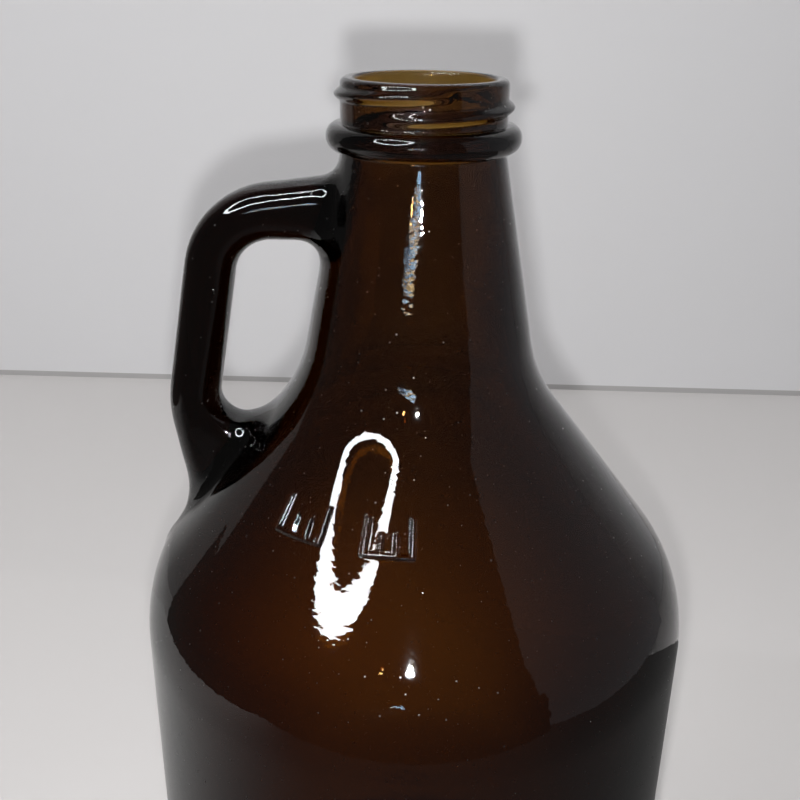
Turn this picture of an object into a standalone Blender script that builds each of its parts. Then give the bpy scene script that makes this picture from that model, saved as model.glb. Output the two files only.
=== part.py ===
"""Half-gallon growler: a handled amber glass jug with a 38-400 screw finish, lying beside it
its ribbed screw cap, upside down, with the cone liner in the cap.

The frame: metres, +Z up, the origin on the jug's axis in the plane it stands on, the handle
towards -X and the front towards -Y. Depths below the rim are written as "depth", so that
z = HEIGHT - depth.
"""

import math

import bmesh
import bpy
from mathutils import Vector

MM = 0.001

# Jug, outside
HEIGHT = 266.0 * MM
BODY_RADIUS = 65.3 * MM
NECK_RADIUS = 17.12 * MM  # of the neck's cone, where it leaves the bead
NECK_TOP_DEPTH = 14.5 * MM
NECK_SLOPE = 0.1943  # radius gained for each unit of depth
SHOULDER_SLOPE = 0.7777
SHOULDER_REFERENCE = (34.21 * MM, 74.0 * MM)  # radius and depth of one point on the shoulder cone
NECK_BEND_RADIUS = 36.0 * MM
SHOULDER_BEND_RADIUS = 35.0 * MM
HEEL_RADIUS = 13.0 * MM
BEARING_INNER_RADIUS = 46.0 * MM
PANEL_RADIUS = 44.5 * MM
PANEL_RECESS = 1.2 * MM

# Jug, walls
BORE_RADIUS = 14.25 * MM
NECK_WALL = 3.3 * MM
SHOULDER_WALL = 3.9 * MM
BODY_WALL = 4.2 * MM
BASE_WALL = 8.0 * MM
INNER_HEEL_RADIUS = 10.0 * MM

# The 38-400 finish
ROOT_RADIUS = 17.4 * MM
CREST_RADIUS = 18.65 * MM
PITCH = 25.4 / 6.0 * MM
LIP_OUTER_CORNER = 1.35 * MM
LIP_INNER_CORNER = 1.1 * MM
THREAD_WIDTH = 2.5 * MM
THREAD_START_DEGREES = -80.0
THREAD_END_DEGREES = -475.0
THREAD_DEPTH_AT_LEFT = 3.4 * MM  # of the ridge's crest where it passes the handle's side, at -180
BEAD_RADIUS = 20.45 * MM
BEAD_DEPTH = 11.75 * MM
BEAD_HALF_HEIGHT = 2.85 * MM

# Handle, in the plane y = 0: an arm from the neck, a round corner, a grip, and a root that
# runs out down the shoulder
ARM_START = (-10.0 * MM, 27.2 * MM)
ARM_END = (-33.0 * MM, 26.5 * MM)
CORNER_RADIUS = 14.0 * MM
GRIP_LEAN = math.radians(9.4)  # outwards, from straight down
GRIP_END_DEPTH = 68.0 * MM
GRIP_HALF_THICKNESS = 5.5 * MM
HANDLE_HALF_WIDTH = 6.5 * MM
# Each row: centre x, depth, half thickness, half width
ROOT_STATIONS = (
    (-51.3, 71.0, 6.2, 6.6),
    (-49.9, 74.0, 7.4, 6.8),
    (-48.0, 77.0, 8.9, 7.0),
    (-46.4, 80.5, 9.9, 6.9),
    (-45.6, 85.5, 10.0, 6.2),
    (-45.6, 91.0, 9.5, 5.0),
    (-47.0, 96.5, 8.8, 3.7),
    (-49.2, 101.5, 8.0, 2.4),
    (-51.6, 105.5, 7.2, 1.4),
)

# Cap, lying upside down: heights above the surface it lies on
CAP_CENTRE = (66.0 * MM, -64.0 * MM)
CAP_RADIUS = 20.3 * MM  # at the foot of the ribs
RIB_HEIGHT = 0.45 * MM
RIB_COUNT = 48
CAP_HEIGHT = 12.0 * MM
CAP_TOP_PLATE = 1.8 * MM
CAP_EDGE_ROUND = 1.1 * MM
RIB_BOTTOM = 1.7 * MM
RIB_TOP = 10.9 * MM
LINER_SEAT_RADIUS = 17.85 * MM
LINER_SEAT_HEIGHT = 3.4 * MM
CAP_THREAD_ROOT = 19.05 * MM
CAP_THREAD_CREST = 17.75 * MM
CAP_THREAD_WIDTH = 1.9 * MM
CAP_THREAD_LOW = 5.4 * MM
CAP_THREAD_TURNS = 1.15

# Liner
GAP = 0.3 * MM
LINER_RADIUS = 17.5 * MM
LINER_THICKNESS = 1.0 * MM
CONE_BASE_RADIUS = 14.1 * MM
CONE_TIP_RADIUS = 12.3 * MM
CONE_HEIGHT = 6.4 * MM
CONE_WALL = 0.95 * MM

# Facets
JUG_STEPS = 56
CAP_STEPS = 48
HANDLE_SIDES = 14
EMBED = 0.6 * MM  # how far a ridge's foot reaches into the wall that carries it


def clear_scene():
    for found in list(bpy.data.objects):
        bpy.data.objects.remove(found, do_unlink=True)


def make_material(name, colour, roughness, transmission=0.0):
    made = bpy.data.materials.new(name)
    made.use_nodes = True
    shader = made.node_tree.nodes["Principled BSDF"]
    shader.inputs["Base Color"].default_value = (*colour, 1.0)
    shader.inputs["Roughness"].default_value = roughness
    shader.inputs["Metallic"].default_value = 0.0
    shader.inputs["Transmission Weight"].default_value = transmission
    return made


def add_object(name, mesh, material=None, sharp_degrees=35.0):
    made = bpy.data.objects.new(name, mesh)
    bpy.context.scene.collection.objects.link(made)
    mesh.shade_smooth()
    mesh.set_sharp_from_angle(angle=math.radians(sharp_degrees))
    if material:
        mesh.materials.append(material)
    return made


def as_helper(made):
    """Marks an object as a form that only a Boolean uses."""
    made.hide_render = True
    made.display_type = "WIRE"
    return made


def boolean(target, form, operation):
    cut = target.modifiers.new(f"{operation.lower()} {form.name}", "BOOLEAN")
    cut.operation = operation
    cut.solver = "EXACT"
    cut.object = form


def finish_bmesh(work, name):
    bmesh.ops.recalc_face_normals(work, faces=work.faces)
    mesh = bpy.data.meshes.new(name)
    work.to_mesh(mesh)
    work.free()
    return mesh


def rounded(corners, arc_points=5):
    """An outline of (radius, height) points. Each corner is (radius, height, fillet radius)."""
    outline = [Vector(corners[0][:2])]
    for before, here, after in zip(corners, corners[1:], corners[2:]):
        corner = Vector(here[:2])
        fillet = here[2]
        if not fillet:
            outline.append(corner)
            continue
        back = (Vector(before[:2]) - corner).normalized()
        ahead = (Vector(after[:2]) - corner).normalized()
        half_angle = back.angle(ahead) / 2
        centre = corner + (back + ahead).normalized() * fillet / math.sin(half_angle)
        reach = fillet / math.tan(half_angle)
        first = corner + back * reach - centre
        turn = first.angle_signed(corner + ahead * reach - centre)
        for step in range(arc_points + 1):
            angle = -turn * step / arc_points
            swung = Vector((
                first.x * math.cos(angle) - first.y * math.sin(angle),
                first.x * math.sin(angle) + first.y * math.cos(angle),
            ))
            outline.append(centre + swung)
    outline.append(Vector(corners[-1][:2]))
    return outline


def lathe(name, outline, steps):
    """A closed solid of revolution about Z, from an outline that starts and ends on the axis."""
    work = bmesh.new()
    points = [work.verts.new((radius, 0.0, height)) for radius, height in outline]
    edges = [work.edges.new(pair) for pair in zip(points, points[1:])]
    bmesh.ops.spin(
        work,
        geom=points + edges,
        cent=(0.0, 0.0, 0.0),
        axis=(0.0, 0.0, 1.0),
        angle=math.tau,
        steps=steps,
        use_merge=True,
    )
    bmesh.ops.remove_doubles(work, verts=work.verts, dist=1e-6)
    return finish_bmesh(work, name)


def loft(name, rings):
    """A closed solid through rings of equally many points, with flat ends."""
    work = bmesh.new()
    made = [[work.verts.new(point) for point in ring] for ring in rings]
    for ring, following in zip(made, made[1:]):
        for side in range(len(ring)):
            after = (side + 1) % len(ring)
            work.faces.new((ring[side], ring[after], following[after], following[side]))
    work.faces.new(made[0][::-1])
    work.faces.new(made[-1])
    return finish_bmesh(work, name)


def ease(value):
    value = min(max(value, 0.0), 1.0)
    return value * value * (3.0 - 2.0 * value)


def screw_ridge(name, foot_radius, crest_radius, width, degrees, height_at, run_out=40.0):
    """A thread ridge that follows height_at(angle in degrees) and sinks into the wall at its ends."""
    rise = crest_radius - foot_radius
    embed = math.copysign(EMBED, rise)
    start, end = degrees
    stations = round(abs(end - start) / 9.0)
    rings = []
    for station in range(stations + 1):
        angle = start + (end - start) * station / stations
        from_end = min(abs(angle - start), abs(angle - end)) / run_out
        crest = foot_radius - embed * 0.5 + (rise + embed * 0.5) * ease(from_end)
        shoulder = foot_radius + (crest - foot_radius) * 0.72
        section = (
            (foot_radius - embed, -0.52),
            (foot_radius, -0.5),
            (shoulder, -0.3),
            (crest, -0.12),
            (crest, 0.12),
            (shoulder, 0.3),
            (foot_radius, 0.5),
            (foot_radius - embed, 0.52),
        )
        turn = math.radians(angle)
        height = height_at(angle)
        rings.append([
            (radius * math.cos(turn), radius * math.sin(turn), height + across * width)
            for radius, across in section
        ])
    return loft(name, rings)


def at_depth(corners):
    """Turns (radius, depth, fillet) corners into (radius, z, fillet) corners."""
    return [(radius, HEIGHT - depth, fillet) for radius, depth, fillet in corners]


def cone_lines(neck_inset, shoulder_inset, outer_wall_radius):
    """Where the neck's cone meets the shoulder's, and the shoulder's meets the body, both set
    in from the outside by a wall."""
    neck = NECK_RADIUS - NECK_SLOPE * NECK_TOP_DEPTH - neck_inset * math.hypot(1, NECK_SLOPE)
    reference_radius, reference_depth = SHOULDER_REFERENCE
    shoulder = (
        reference_radius
        - SHOULDER_SLOPE * reference_depth
        - shoulder_inset * math.hypot(1, SHOULDER_SLOPE)
    )
    waist_depth = (neck - shoulder) / (SHOULDER_SLOPE - NECK_SLOPE)
    waist = (neck + NECK_SLOPE * waist_depth, waist_depth)
    body = (outer_wall_radius, (outer_wall_radius - shoulder) / SHOULDER_SLOPE)
    return neck, waist, body


def bead_points(count=8):
    """The transfer bead: a half round that is a little flattened, from its top down."""
    rise = BEAD_RADIUS - ROOT_RADIUS
    points = []
    for step in range(count + 1):
        angle = math.pi * step / count
        along = -math.cos(angle)
        out = math.sin(angle) ** 0.85
        points.append((ROOT_RADIUS + rise * out, BEAD_DEPTH + BEAD_HALF_HEIGHT * along, 0.0))
    return points


def jug_outside():
    _, waist, body = cone_lines(0.0, 0.0, BODY_RADIUS)
    upper = [
        (0.0, 0.0, 0.0),
        (ROOT_RADIUS, 0.0, LIP_OUTER_CORNER),
        (ROOT_RADIUS, BEAD_DEPTH - BEAD_HALF_HEIGHT - 0.4 * MM, 0.0),
        *bead_points(),
        (*waist, NECK_BEND_RADIUS),
        (*body, SHOULDER_BEND_RADIUS),
        (BODY_RADIUS, HEIGHT, HEEL_RADIUS),
    ]
    corners = at_depth(upper)
    corners += [
        (BEARING_INNER_RADIUS, 0.0, 0.0),
        (PANEL_RADIUS, PANEL_RECESS, 0.0),
        (0.0, PANEL_RECESS, 0.0),
    ]
    return rounded(corners)


def jug_cavity():
    """The inside, carried on above the rim so that it cuts the mouth open. Its flare rounds
    the lip's inner corner."""
    neck, waist, body = cone_lines(NECK_WALL, SHOULDER_WALL, BODY_RADIUS - BODY_WALL)
    bore_end = (BORE_RADIUS - neck) / NECK_SLOPE
    land_inner = BORE_RADIUS + LIP_INNER_CORNER
    lip = []
    for step in range(5):
        angle = math.radians(90.0) * step / 4
        lip.append((
            land_inner - LIP_INNER_CORNER * math.sin(angle),
            LIP_INNER_CORNER * (1.0 - math.cos(angle)),
            0.0,
        ))
    above = 3.0 * MM
    corners = at_depth([
        (0.0, -above, 0.0),
        (land_inner, -above, 0.0),
        *lip,
        (BORE_RADIUS, bore_end, 0.0),
        (*waist, NECK_BEND_RADIUS + NECK_WALL),
        (*body, SHOULDER_BEND_RADIUS - SHOULDER_WALL),
    ])
    inner_radius = BODY_RADIUS - BODY_WALL
    corners += [
        (inner_radius, BASE_WALL, INNER_HEEL_RADIUS),
        (0.0, BASE_WALL, 0.0),
    ]
    return rounded(corners)


def handle_ring(x, depth, heading, half_thickness, half_width):
    """A rounded section square to the heading, which is an (x, depth) direction."""
    across = Vector((heading[1], 0.0, heading[0])).normalized()
    centre = Vector((x, 0.0, HEIGHT - depth))
    ring = []
    for side in range(HANDLE_SIDES):
        angle = math.tau * side / HANDLE_SIDES
        thick = math.copysign(abs(math.cos(angle)) ** 0.88, math.cos(angle)) * half_thickness
        wide = math.copysign(abs(math.sin(angle)) ** 0.88, math.sin(angle)) * half_width
        ring.append(centre + across * thick + Vector((0.0, wide, 0.0)))
    return ring


def handle_rings():
    rings = []
    arm_steps = 5
    for step in range(arm_steps):
        along = step / arm_steps
        x = ARM_START[0] + (ARM_END[0] - ARM_START[0]) * along
        depth = ARM_START[1] + (ARM_END[1] - ARM_START[1]) * along
        flare = (1.0 - ease((along - 0.3) / 0.6)) * 2.4 * MM
        rings.append(handle_ring(
            x, depth, (-1.0, 0.0), 6.3 * MM + flare, HANDLE_HALF_WIDTH + 0.5 * flare
        ))
    turned = math.radians(90.0) - GRIP_LEAN
    centre_depth = ARM_END[1] + CORNER_RADIUS
    corner_steps = 7
    for step in range(corner_steps + 1):
        angle = turned * step / corner_steps
        half_thickness = 6.2 * MM + (GRIP_HALF_THICKNESS - 6.2 * MM) * step / corner_steps
        rings.append(handle_ring(
            ARM_END[0] - CORNER_RADIUS * math.sin(angle),
            centre_depth - CORNER_RADIUS * math.cos(angle),
            (-math.cos(angle), math.sin(angle)),
            half_thickness,
            HANDLE_HALF_WIDTH,
        ))
    corner_x = ARM_END[0] - CORNER_RADIUS * math.sin(turned)
    corner_depth = centre_depth - CORNER_RADIUS * math.cos(turned)
    grip_steps = 3
    for step in range(1, grip_steps + 1):
        depth = corner_depth + (GRIP_END_DEPTH - corner_depth) * step / grip_steps
        x = corner_x - (depth - corner_depth) * math.tan(GRIP_LEAN)
        heading = (-math.sin(GRIP_LEAN), math.cos(GRIP_LEAN))
        rings.append(handle_ring(x, depth, heading, GRIP_HALF_THICKNESS, HANDLE_HALF_WIDTH))
    for x, depth, half_thickness, half_width in ROOT_STATIONS:
        rings.append(handle_ring(
            x * MM, depth * MM, (0.0, 1.0), half_thickness * MM, half_width * MM
        ))
    return rings


def glass_thread_height(degrees):
    depth = THREAD_DEPTH_AT_LEFT + PITCH * (-180.0 - degrees) / 360.0
    return HEIGHT - depth


def build_jug():
    glass = make_material("amber glass", (0.10, 0.035, 0.008), 0.05, transmission=1.0)
    jug = add_object("glass_jug", lathe("glass_jug", jug_outside(), JUG_STEPS), glass)
    handle = as_helper(add_object("handle_form", loft("handle_form", handle_rings()), glass))
    ridge = screw_ridge(
        "thread_form",
        ROOT_RADIUS,
        CREST_RADIUS,
        THREAD_WIDTH,
        (THREAD_START_DEGREES, THREAD_END_DEGREES),
        glass_thread_height,
    )
    thread = as_helper(add_object("thread_form", ridge, glass))
    cavity_mesh = lathe("cavity_form", jug_cavity(), JUG_STEPS)
    cavity = as_helper(add_object("cavity_form", cavity_mesh, glass))
    boolean(jug, handle, "UNION")
    boolean(jug, thread, "UNION")
    boolean(jug, cavity, "DIFFERENCE")


def ribbed_band():
    """The skirt's outside: a ring of low ribs between two plain edges."""
    work = bmesh.new()
    outline = []
    for rib in range(RIB_COUNT):
        for part, radius in (
            (0.0, CAP_RADIUS),
            (0.34, CAP_RADIUS),
            (0.5, CAP_RADIUS + RIB_HEIGHT),
            (0.84, CAP_RADIUS + RIB_HEIGHT),
        ):
            angle = math.tau * (rib + part) / RIB_COUNT
            point = (radius * math.cos(angle), radius * math.sin(angle), RIB_BOTTOM)
            outline.append(work.verts.new(point))
    face = work.faces.new(outline)
    raised = bmesh.ops.extrude_face_region(work, geom=[face])
    moved = [found for found in raised["geom"] if isinstance(found, bmesh.types.BMVert)]
    bmesh.ops.translate(work, verts=moved, vec=(0.0, 0.0, RIB_TOP - RIB_BOTTOM))
    return finish_bmesh(work, "ribbed_band")


def cap_thread_height(degrees):
    return CAP_THREAD_LOW - PITCH * degrees / 360.0


def build_cap():
    moulded = make_material("black moulded plastic", (0.012, 0.012, 0.013), 0.38)
    edge_radius = CAP_RADIUS + 0.2 * MM
    outside = rounded([
        (0.0, 0.0, 0.0),
        (edge_radius, 0.0, CAP_EDGE_ROUND),
        (edge_radius, RIB_BOTTOM + 0.4 * MM, 0.0),
        (CAP_RADIUS - 0.1 * MM, RIB_BOTTOM + 0.7 * MM, 0.0),
        (CAP_RADIUS - 0.1 * MM, RIB_TOP - 0.7 * MM, 0.0),
        (edge_radius, RIB_TOP - 0.4 * MM, 0.0),
        (edge_radius, CAP_HEIGHT, 0.4 * MM),
        (0.0, CAP_HEIGHT, 0.0),
    ], arc_points=3)
    cap = add_object("cap_shell", lathe("cap_shell", outside, CAP_STEPS), moulded)
    band = as_helper(add_object("rib_form", ribbed_band(), moulded, sharp_degrees=20.0))
    above = 2.0 * MM
    inside = [
        (0.0, CAP_TOP_PLATE),
        (LINER_SEAT_RADIUS, CAP_TOP_PLATE),
        (LINER_SEAT_RADIUS, LINER_SEAT_HEIGHT),
        (CAP_THREAD_ROOT, LINER_SEAT_HEIGHT + 0.5 * MM),
        (CAP_THREAD_ROOT, CAP_HEIGHT - 0.7 * MM),
        (CAP_THREAD_ROOT + 0.5 * MM, CAP_HEIGHT + 0.1 * MM),
        (CAP_THREAD_ROOT + 0.5 * MM, CAP_HEIGHT + above),
        (0.0, CAP_HEIGHT + above),
    ]
    hollow = as_helper(add_object("hollow_form", lathe("hollow_form", inside, CAP_STEPS), moulded))
    ridge = screw_ridge(
        "cap_thread_form",
        CAP_THREAD_ROOT,
        CAP_THREAD_CREST,
        CAP_THREAD_WIDTH,
        (0.0, -360.0 * CAP_THREAD_TURNS),
        cap_thread_height,
        run_out=30.0,
    )
    thread = as_helper(add_object("cap_thread_form", ridge, moulded))
    boolean(cap, band, "UNION")
    boolean(cap, hollow, "DIFFERENCE")
    boolean(cap, thread, "UNION")
    cap.location = (*CAP_CENTRE, 0.0)
    for form in (band, hollow, thread):
        form.parent = cap
    return cap


def build_liner(cap):
    polythene = make_material("natural polythene", (0.80, 0.82, 0.80), 0.42)
    bottom = CAP_TOP_PLATE + GAP
    flange_top = bottom + LINER_THICKNESS
    tip = flange_top + CONE_HEIGHT
    floor = bottom + 0.85 * MM
    outline = [
        (0.0, bottom),
        (LINER_RADIUS, bottom),
        (LINER_RADIUS, flange_top),
        (CONE_BASE_RADIUS + 0.5 * MM, flange_top),
        (CONE_BASE_RADIUS, flange_top + 0.5 * MM),
        (CONE_TIP_RADIUS, tip - 0.2 * MM),
        (CONE_TIP_RADIUS - 0.2 * MM, tip),
        (CONE_TIP_RADIUS - CONE_WALL + 0.2 * MM, tip),
        (CONE_TIP_RADIUS - CONE_WALL, tip - 0.2 * MM),
        (CONE_BASE_RADIUS - CONE_WALL, floor + 0.5 * MM),
        (CONE_BASE_RADIUS - CONE_WALL - 0.5 * MM, floor),
        (0.0, floor),
    ]
    liner = add_object("cap_liner", lathe("cap_liner", outline, CAP_STEPS), polythene)
    liner.parent = cap


def main():
    clear_scene()
    build_jug()
    cap = build_cap()
    build_liner(cap)


main()
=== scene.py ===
"""The growler's looks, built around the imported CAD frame: the blown amber glass jug as one closed
fine mesh, its ribbed cap and cone liner, and a plain studio.

The three pieces are worked out in millimetres, and the materials and the studio in metres, as is
every name that ends in _M or _m. "Depth" is the distance below the jug's rim, and angles are degrees
around the jug's axis, from +X towards +Y: the front is -90 and the handle is at 180.
"""

import math

import bmesh
import bpy
import numpy as np
from mathutils import Matrix, Vector


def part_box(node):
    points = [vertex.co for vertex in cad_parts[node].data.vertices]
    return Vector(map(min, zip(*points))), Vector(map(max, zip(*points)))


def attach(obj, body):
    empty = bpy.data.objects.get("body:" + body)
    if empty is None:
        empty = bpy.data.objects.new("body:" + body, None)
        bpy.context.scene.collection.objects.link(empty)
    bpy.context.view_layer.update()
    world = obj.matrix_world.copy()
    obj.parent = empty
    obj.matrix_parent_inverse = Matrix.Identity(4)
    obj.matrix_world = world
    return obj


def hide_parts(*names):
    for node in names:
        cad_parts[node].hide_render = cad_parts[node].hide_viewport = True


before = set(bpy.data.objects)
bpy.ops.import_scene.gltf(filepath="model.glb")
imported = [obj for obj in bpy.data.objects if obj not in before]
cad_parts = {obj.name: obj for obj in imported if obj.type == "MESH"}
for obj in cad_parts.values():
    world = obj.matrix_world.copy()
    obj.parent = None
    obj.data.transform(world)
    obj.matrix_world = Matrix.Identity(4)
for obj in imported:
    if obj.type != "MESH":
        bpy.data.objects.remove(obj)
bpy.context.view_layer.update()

MM = 0.001

# From the frame
JUG_HIGH_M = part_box("glass_jug")[1]
CAP_LOW_M, CAP_HIGH_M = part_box("cap_shell")
LINER_LOW_M, LINER_HIGH_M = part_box("cap_liner")
HEIGHT = JUG_HIGH_M.z / MM
BODY_RADIUS = JUG_HIGH_M.x / MM
CAP_PLACE_M = ((CAP_LOW_M.x + CAP_HIGH_M.x) / 2, (CAP_LOW_M.y + CAP_HIGH_M.y) / 2, 0.0)
CAP_HEIGHT = CAP_HIGH_M.z / MM
LINER_BOTTOM = LINER_LOW_M.z / MM
LINER_TIP = LINER_HIGH_M.z / MM

# The jug's outline, as in the CAD
NECK_RADIUS = 17.12
NECK_TOP_DEPTH = 14.5
NECK_SLOPE = 0.1943
SHOULDER_SLOPE = 0.7777
SHOULDER_REFERENCE = (34.21, 74.0)
NECK_BEND_RADIUS = 36.0
SHOULDER_BEND_RADIUS = 35.0
HEEL_RADIUS = 13.0
BEARING_INNER_RADIUS = 46.0
PANEL_RADIUS = 44.5
PANEL_RECESS = 1.2
BORE_RADIUS = 14.6
NECK_WALL = 3.3
SHOULDER_WALL = 3.9
BODY_WALL = 4.2
BASE_WALL = 8.0
INNER_HEEL_RADIUS = 10.0
ROOT_RADIUS = 17.4
THREAD_RISE = 1.25
PITCH = 25.4 / 6.0
LIP_OUTER_CORNER = 1.35
LIP_INNER_CORNER = 0.9
THREAD_HALF_WIDTH = 1.55
THREAD_DEGREES = (-484.0, -68.0)
THREAD_RUN_OUT = 40.0
THREAD_DEPTH_AT_LEFT = 3.4
BEAD_RADIUS = 20.45
BEAD_DEPTH = 11.75
BEAD_HALF_HEIGHT = 2.85

# The jug's mesh: columns around, and rows between depths on the outside
COLUMNS = 192
STEP_DEGREES = 360.0 / COLUMNS
COLUMN_DEGREES = (STEP_DEGREES * np.arange(COLUMNS) + 180.0) % 360.0 - 180.0
OUTSIDE_ROWS = (
    # down to this depth, rows
    (LIP_OUTER_CORNER, 12),
    (8.5, 32),
    (15.0, 32),
    (46.0, 32),
    (70.0, 20),
    (113.0, 50),
    (125.0, 8),
    (HEIGHT - HEEL_RADIUS, 40),
)
INSIDE_ROWS = (
    (LIP_INNER_CORNER, 6),
    (30.0, 14),
    (60.0, 14),
    (113.0, 26),
    (HEIGHT - BASE_WALL - INNER_HEEL_RADIUS, 30),
)
ARM_PATCH = {"depths": (15.0, 46.0), "columns": 44}
ROOT_PATCH = {"depths": (70.0, 113.0), "columns": 26}

# The handle's side view, as (x, depth, corner radius), and its section
HANDLE_OUTLINE = (
    (-10.0, 18.9, 0.0),
    (-49.05, 24.0, 21.0),
    (-58.0, 72.5, 30.0),
    (-54.0, 96.6, 32.0),
    (-61.0, 116.6, 0.0),
    (-10.0, 116.6, 0.0),
)
FINGER_HOLE = (
    (-5.0, 34.0, 0.0),
    (-39.66, 34.0, 8.9),
    (-46.93, 76.1, 5.5),
    (-5.0, 76.1, 0.0),
)
HOLE_TOP_CENTRE = (-32.0, 42.3)
HOLE_BOTTOM_CENTRE = (-40.4, 70.6)
ARM_MIDDLE = 14.6  # from the hole's top centre to the middle of the handle's section
ROOT_MIDDLE = 11.2  # the same at the hole's bottom centre
GRIP_LEAN_DEGREES = 9.7  # of the grip from upright
ROOT_BEND_DEGREES = 52.0
HANDLE_HALF_THICKNESS = 5.5
HANDLE_HALF_WIDTH = 6.5
SECTION_POWER = 2.3  # between a round section (2) and a square one
ROOT_TAPER = (84.0, 22.0, 5.3, 1.6)  # from depth, over, loss of half width, power
ARM_STEPS, GRIP_STEPS, ROOT_STEPS = 16, 19, 8  # between the handle's rings
ARM_JOINT_STEPS, ROOT_JOINT_STEPS = 16, 26  # between the wall and the first ring, and the last

# The level mark moulded on the shoulder
MARK_DEPTH = 84.0
MARK_FIRST_DEGREES = -128.0
MARK_HEIGHT = 0.42
MARK_HALF_STROKE = 0.75
MARK_TICKS = 4
MARK_SCALES = ((-1.5, 3.4), (18.0, 3.2))  # each scale's start along the shoulder, and its spacing
MARK_BASE_LINE = 3.4  # down the slope from the mark's depth
LONG_TICK = 7.2
SHORT_TICK = 4.0
MARKED_DEGREES = (-132.5, -87.0)
MARKED_DEPTHS = (78.0, 90.0)
MARK_CUTS = 5  # extra mesh lines in each cell of the marked part


def ease(value):
    value = np.clip(value, 0.0, 1.0)
    return value * value * (3.0 - 2.0 * value)


def new_object(name, mesh, material=None):
    made = bpy.data.objects.new(name, mesh)
    bpy.context.scene.collection.objects.link(made)
    if material:
        mesh.materials.append(material)
    return made


def rounded(corners, arc_points=160):
    """An outline through (x, y, fillet radius) corners, as an array of points."""
    outline = [Vector(corners[0][:2])]
    for before, here, after in zip(corners, corners[1:], corners[2:]):
        corner = Vector(here[:2])
        if not here[2]:
            outline.append(corner)
            continue
        back = (Vector(before[:2]) - corner).normalized()
        ahead = (Vector(after[:2]) - corner).normalized()
        half_angle = back.angle(ahead) / 2
        centre = corner + (back + ahead).normalized() * here[2] / math.sin(half_angle)
        reach = here[2] / math.tan(half_angle)
        first = corner + back * reach - centre
        turn = first.angle_signed(corner + ahead * reach - centre)
        for step in range(arc_points + 1):
            angle = -turn * step / arc_points
            outline.append(centre + Vector((
                first.x * math.cos(angle) - first.y * math.sin(angle),
                first.x * math.sin(angle) + first.y * math.cos(angle),
            )))
    outline.append(Vector(corners[-1][:2]))
    return np.array([tuple(point) for point in outline])


def lengths_along(outline):
    steps = np.hypot(*np.diff(outline, axis=0).T)
    return np.concatenate([[0.0], np.cumsum(steps)])


def points_at(outline, places):
    along = lengths_along(outline)
    return np.column_stack([np.interp(places, along, outline[:, k]) for k in (0, 1)])


def rows_down(outline, table):
    """Points down an outline of (radius, depth), with the table's rows down to each of its
    depths, and the length along it that they reach."""
    along = lengths_along(outline)
    # the outline is monotone in depth down to the table's last depth
    last = int(np.argmax(outline[:, 1] >= table[-1][0] - 1e-9)) + 1
    depths = np.maximum.accumulate(outline[:last, 1] + np.arange(last) * 1e-9)
    start = 0.0
    places = []
    for depth, count in table:
        end = float(np.interp(depth, depths, along[:last]))
        places += list(start + (end - start) * np.arange(count) / count)
        start = end
    return places, start


def cone_lines(neck_inset, shoulder_inset, wall_radius):
    """Where the cones of the neck and the shoulder, moved inwards by the insets, meet each other
    and the body's wall: the neck's radius at no depth, the waist's corner and the body's."""
    neck = NECK_RADIUS - NECK_SLOPE * NECK_TOP_DEPTH - neck_inset * math.hypot(1, NECK_SLOPE)
    reference_radius, reference_depth = SHOULDER_REFERENCE
    shoulder = (
        reference_radius
        - SHOULDER_SLOPE * reference_depth
        - shoulder_inset * math.hypot(1, SHOULDER_SLOPE)
    )
    waist_depth = (neck - shoulder) / (SHOULDER_SLOPE - NECK_SLOPE)
    waist = (neck + NECK_SLOPE * waist_depth, waist_depth)
    body = (wall_radius, (wall_radius - shoulder) / SHOULDER_SLOPE)
    return neck, waist, body


def outside_outline():
    """The outside from the lip's flat land down to the centre of the base."""
    _, waist, body = cone_lines(0.0, 0.0, BODY_RADIUS)
    bead = []
    for step in range(33):
        angle = math.pi * step / 32
        bead.append((
            ROOT_RADIUS + (BEAD_RADIUS - ROOT_RADIUS) * math.sin(angle) ** 0.85,
            BEAD_DEPTH - BEAD_HALF_HEIGHT * math.cos(angle),
            0.0,
        ))
    return rounded([
        (BORE_RADIUS + LIP_INNER_CORNER, 0.0, 0.0),
        (ROOT_RADIUS, 0.0, LIP_OUTER_CORNER),
        *bead,
        (*waist, NECK_BEND_RADIUS),
        (*body, SHOULDER_BEND_RADIUS),
        (BODY_RADIUS, HEIGHT, HEEL_RADIUS),
        (BEARING_INNER_RADIUS, HEIGHT, 0.9),
        (PANEL_RADIUS, HEIGHT - PANEL_RECESS, 0.9),
        (0.0, HEIGHT - PANEL_RECESS, 0.0),
    ])


def inside_outline():
    """The inside from the lip's flat land down to the centre of the floor."""
    neck, waist, body = cone_lines(NECK_WALL, SHOULDER_WALL, BODY_RADIUS - BODY_WALL)
    return rounded([
        (BORE_RADIUS + LIP_INNER_CORNER, 0.0, 0.0),
        (BORE_RADIUS, 0.0, LIP_INNER_CORNER - 0.01),
        (BORE_RADIUS, (BORE_RADIUS - neck) / NECK_SLOPE, 0.0),
        (*waist, NECK_BEND_RADIUS + NECK_WALL),
        (*body, SHOULDER_BEND_RADIUS - SHOULDER_WALL),
        (BODY_RADIUS - BODY_WALL, HEIGHT - BASE_WALL, INNER_HEEL_RADIUS),
        (0.0, HEIGHT - BASE_WALL, 0.0),
    ])


OUTSIDE = outside_outline()
WALL = OUTSIDE[1:int(np.argmax(OUTSIDE[:, 1] > HEIGHT - HEEL_RADIUS))]  # above the heel


def wall_radius(depth):
    return np.interp(depth, WALL[:, 1], WALL[:, 0])


def wall_slope(depth):
    """How fast the radius grows with the depth."""
    return (wall_radius(depth + 0.4) - wall_radius(depth - 0.4)) / 0.8


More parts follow.
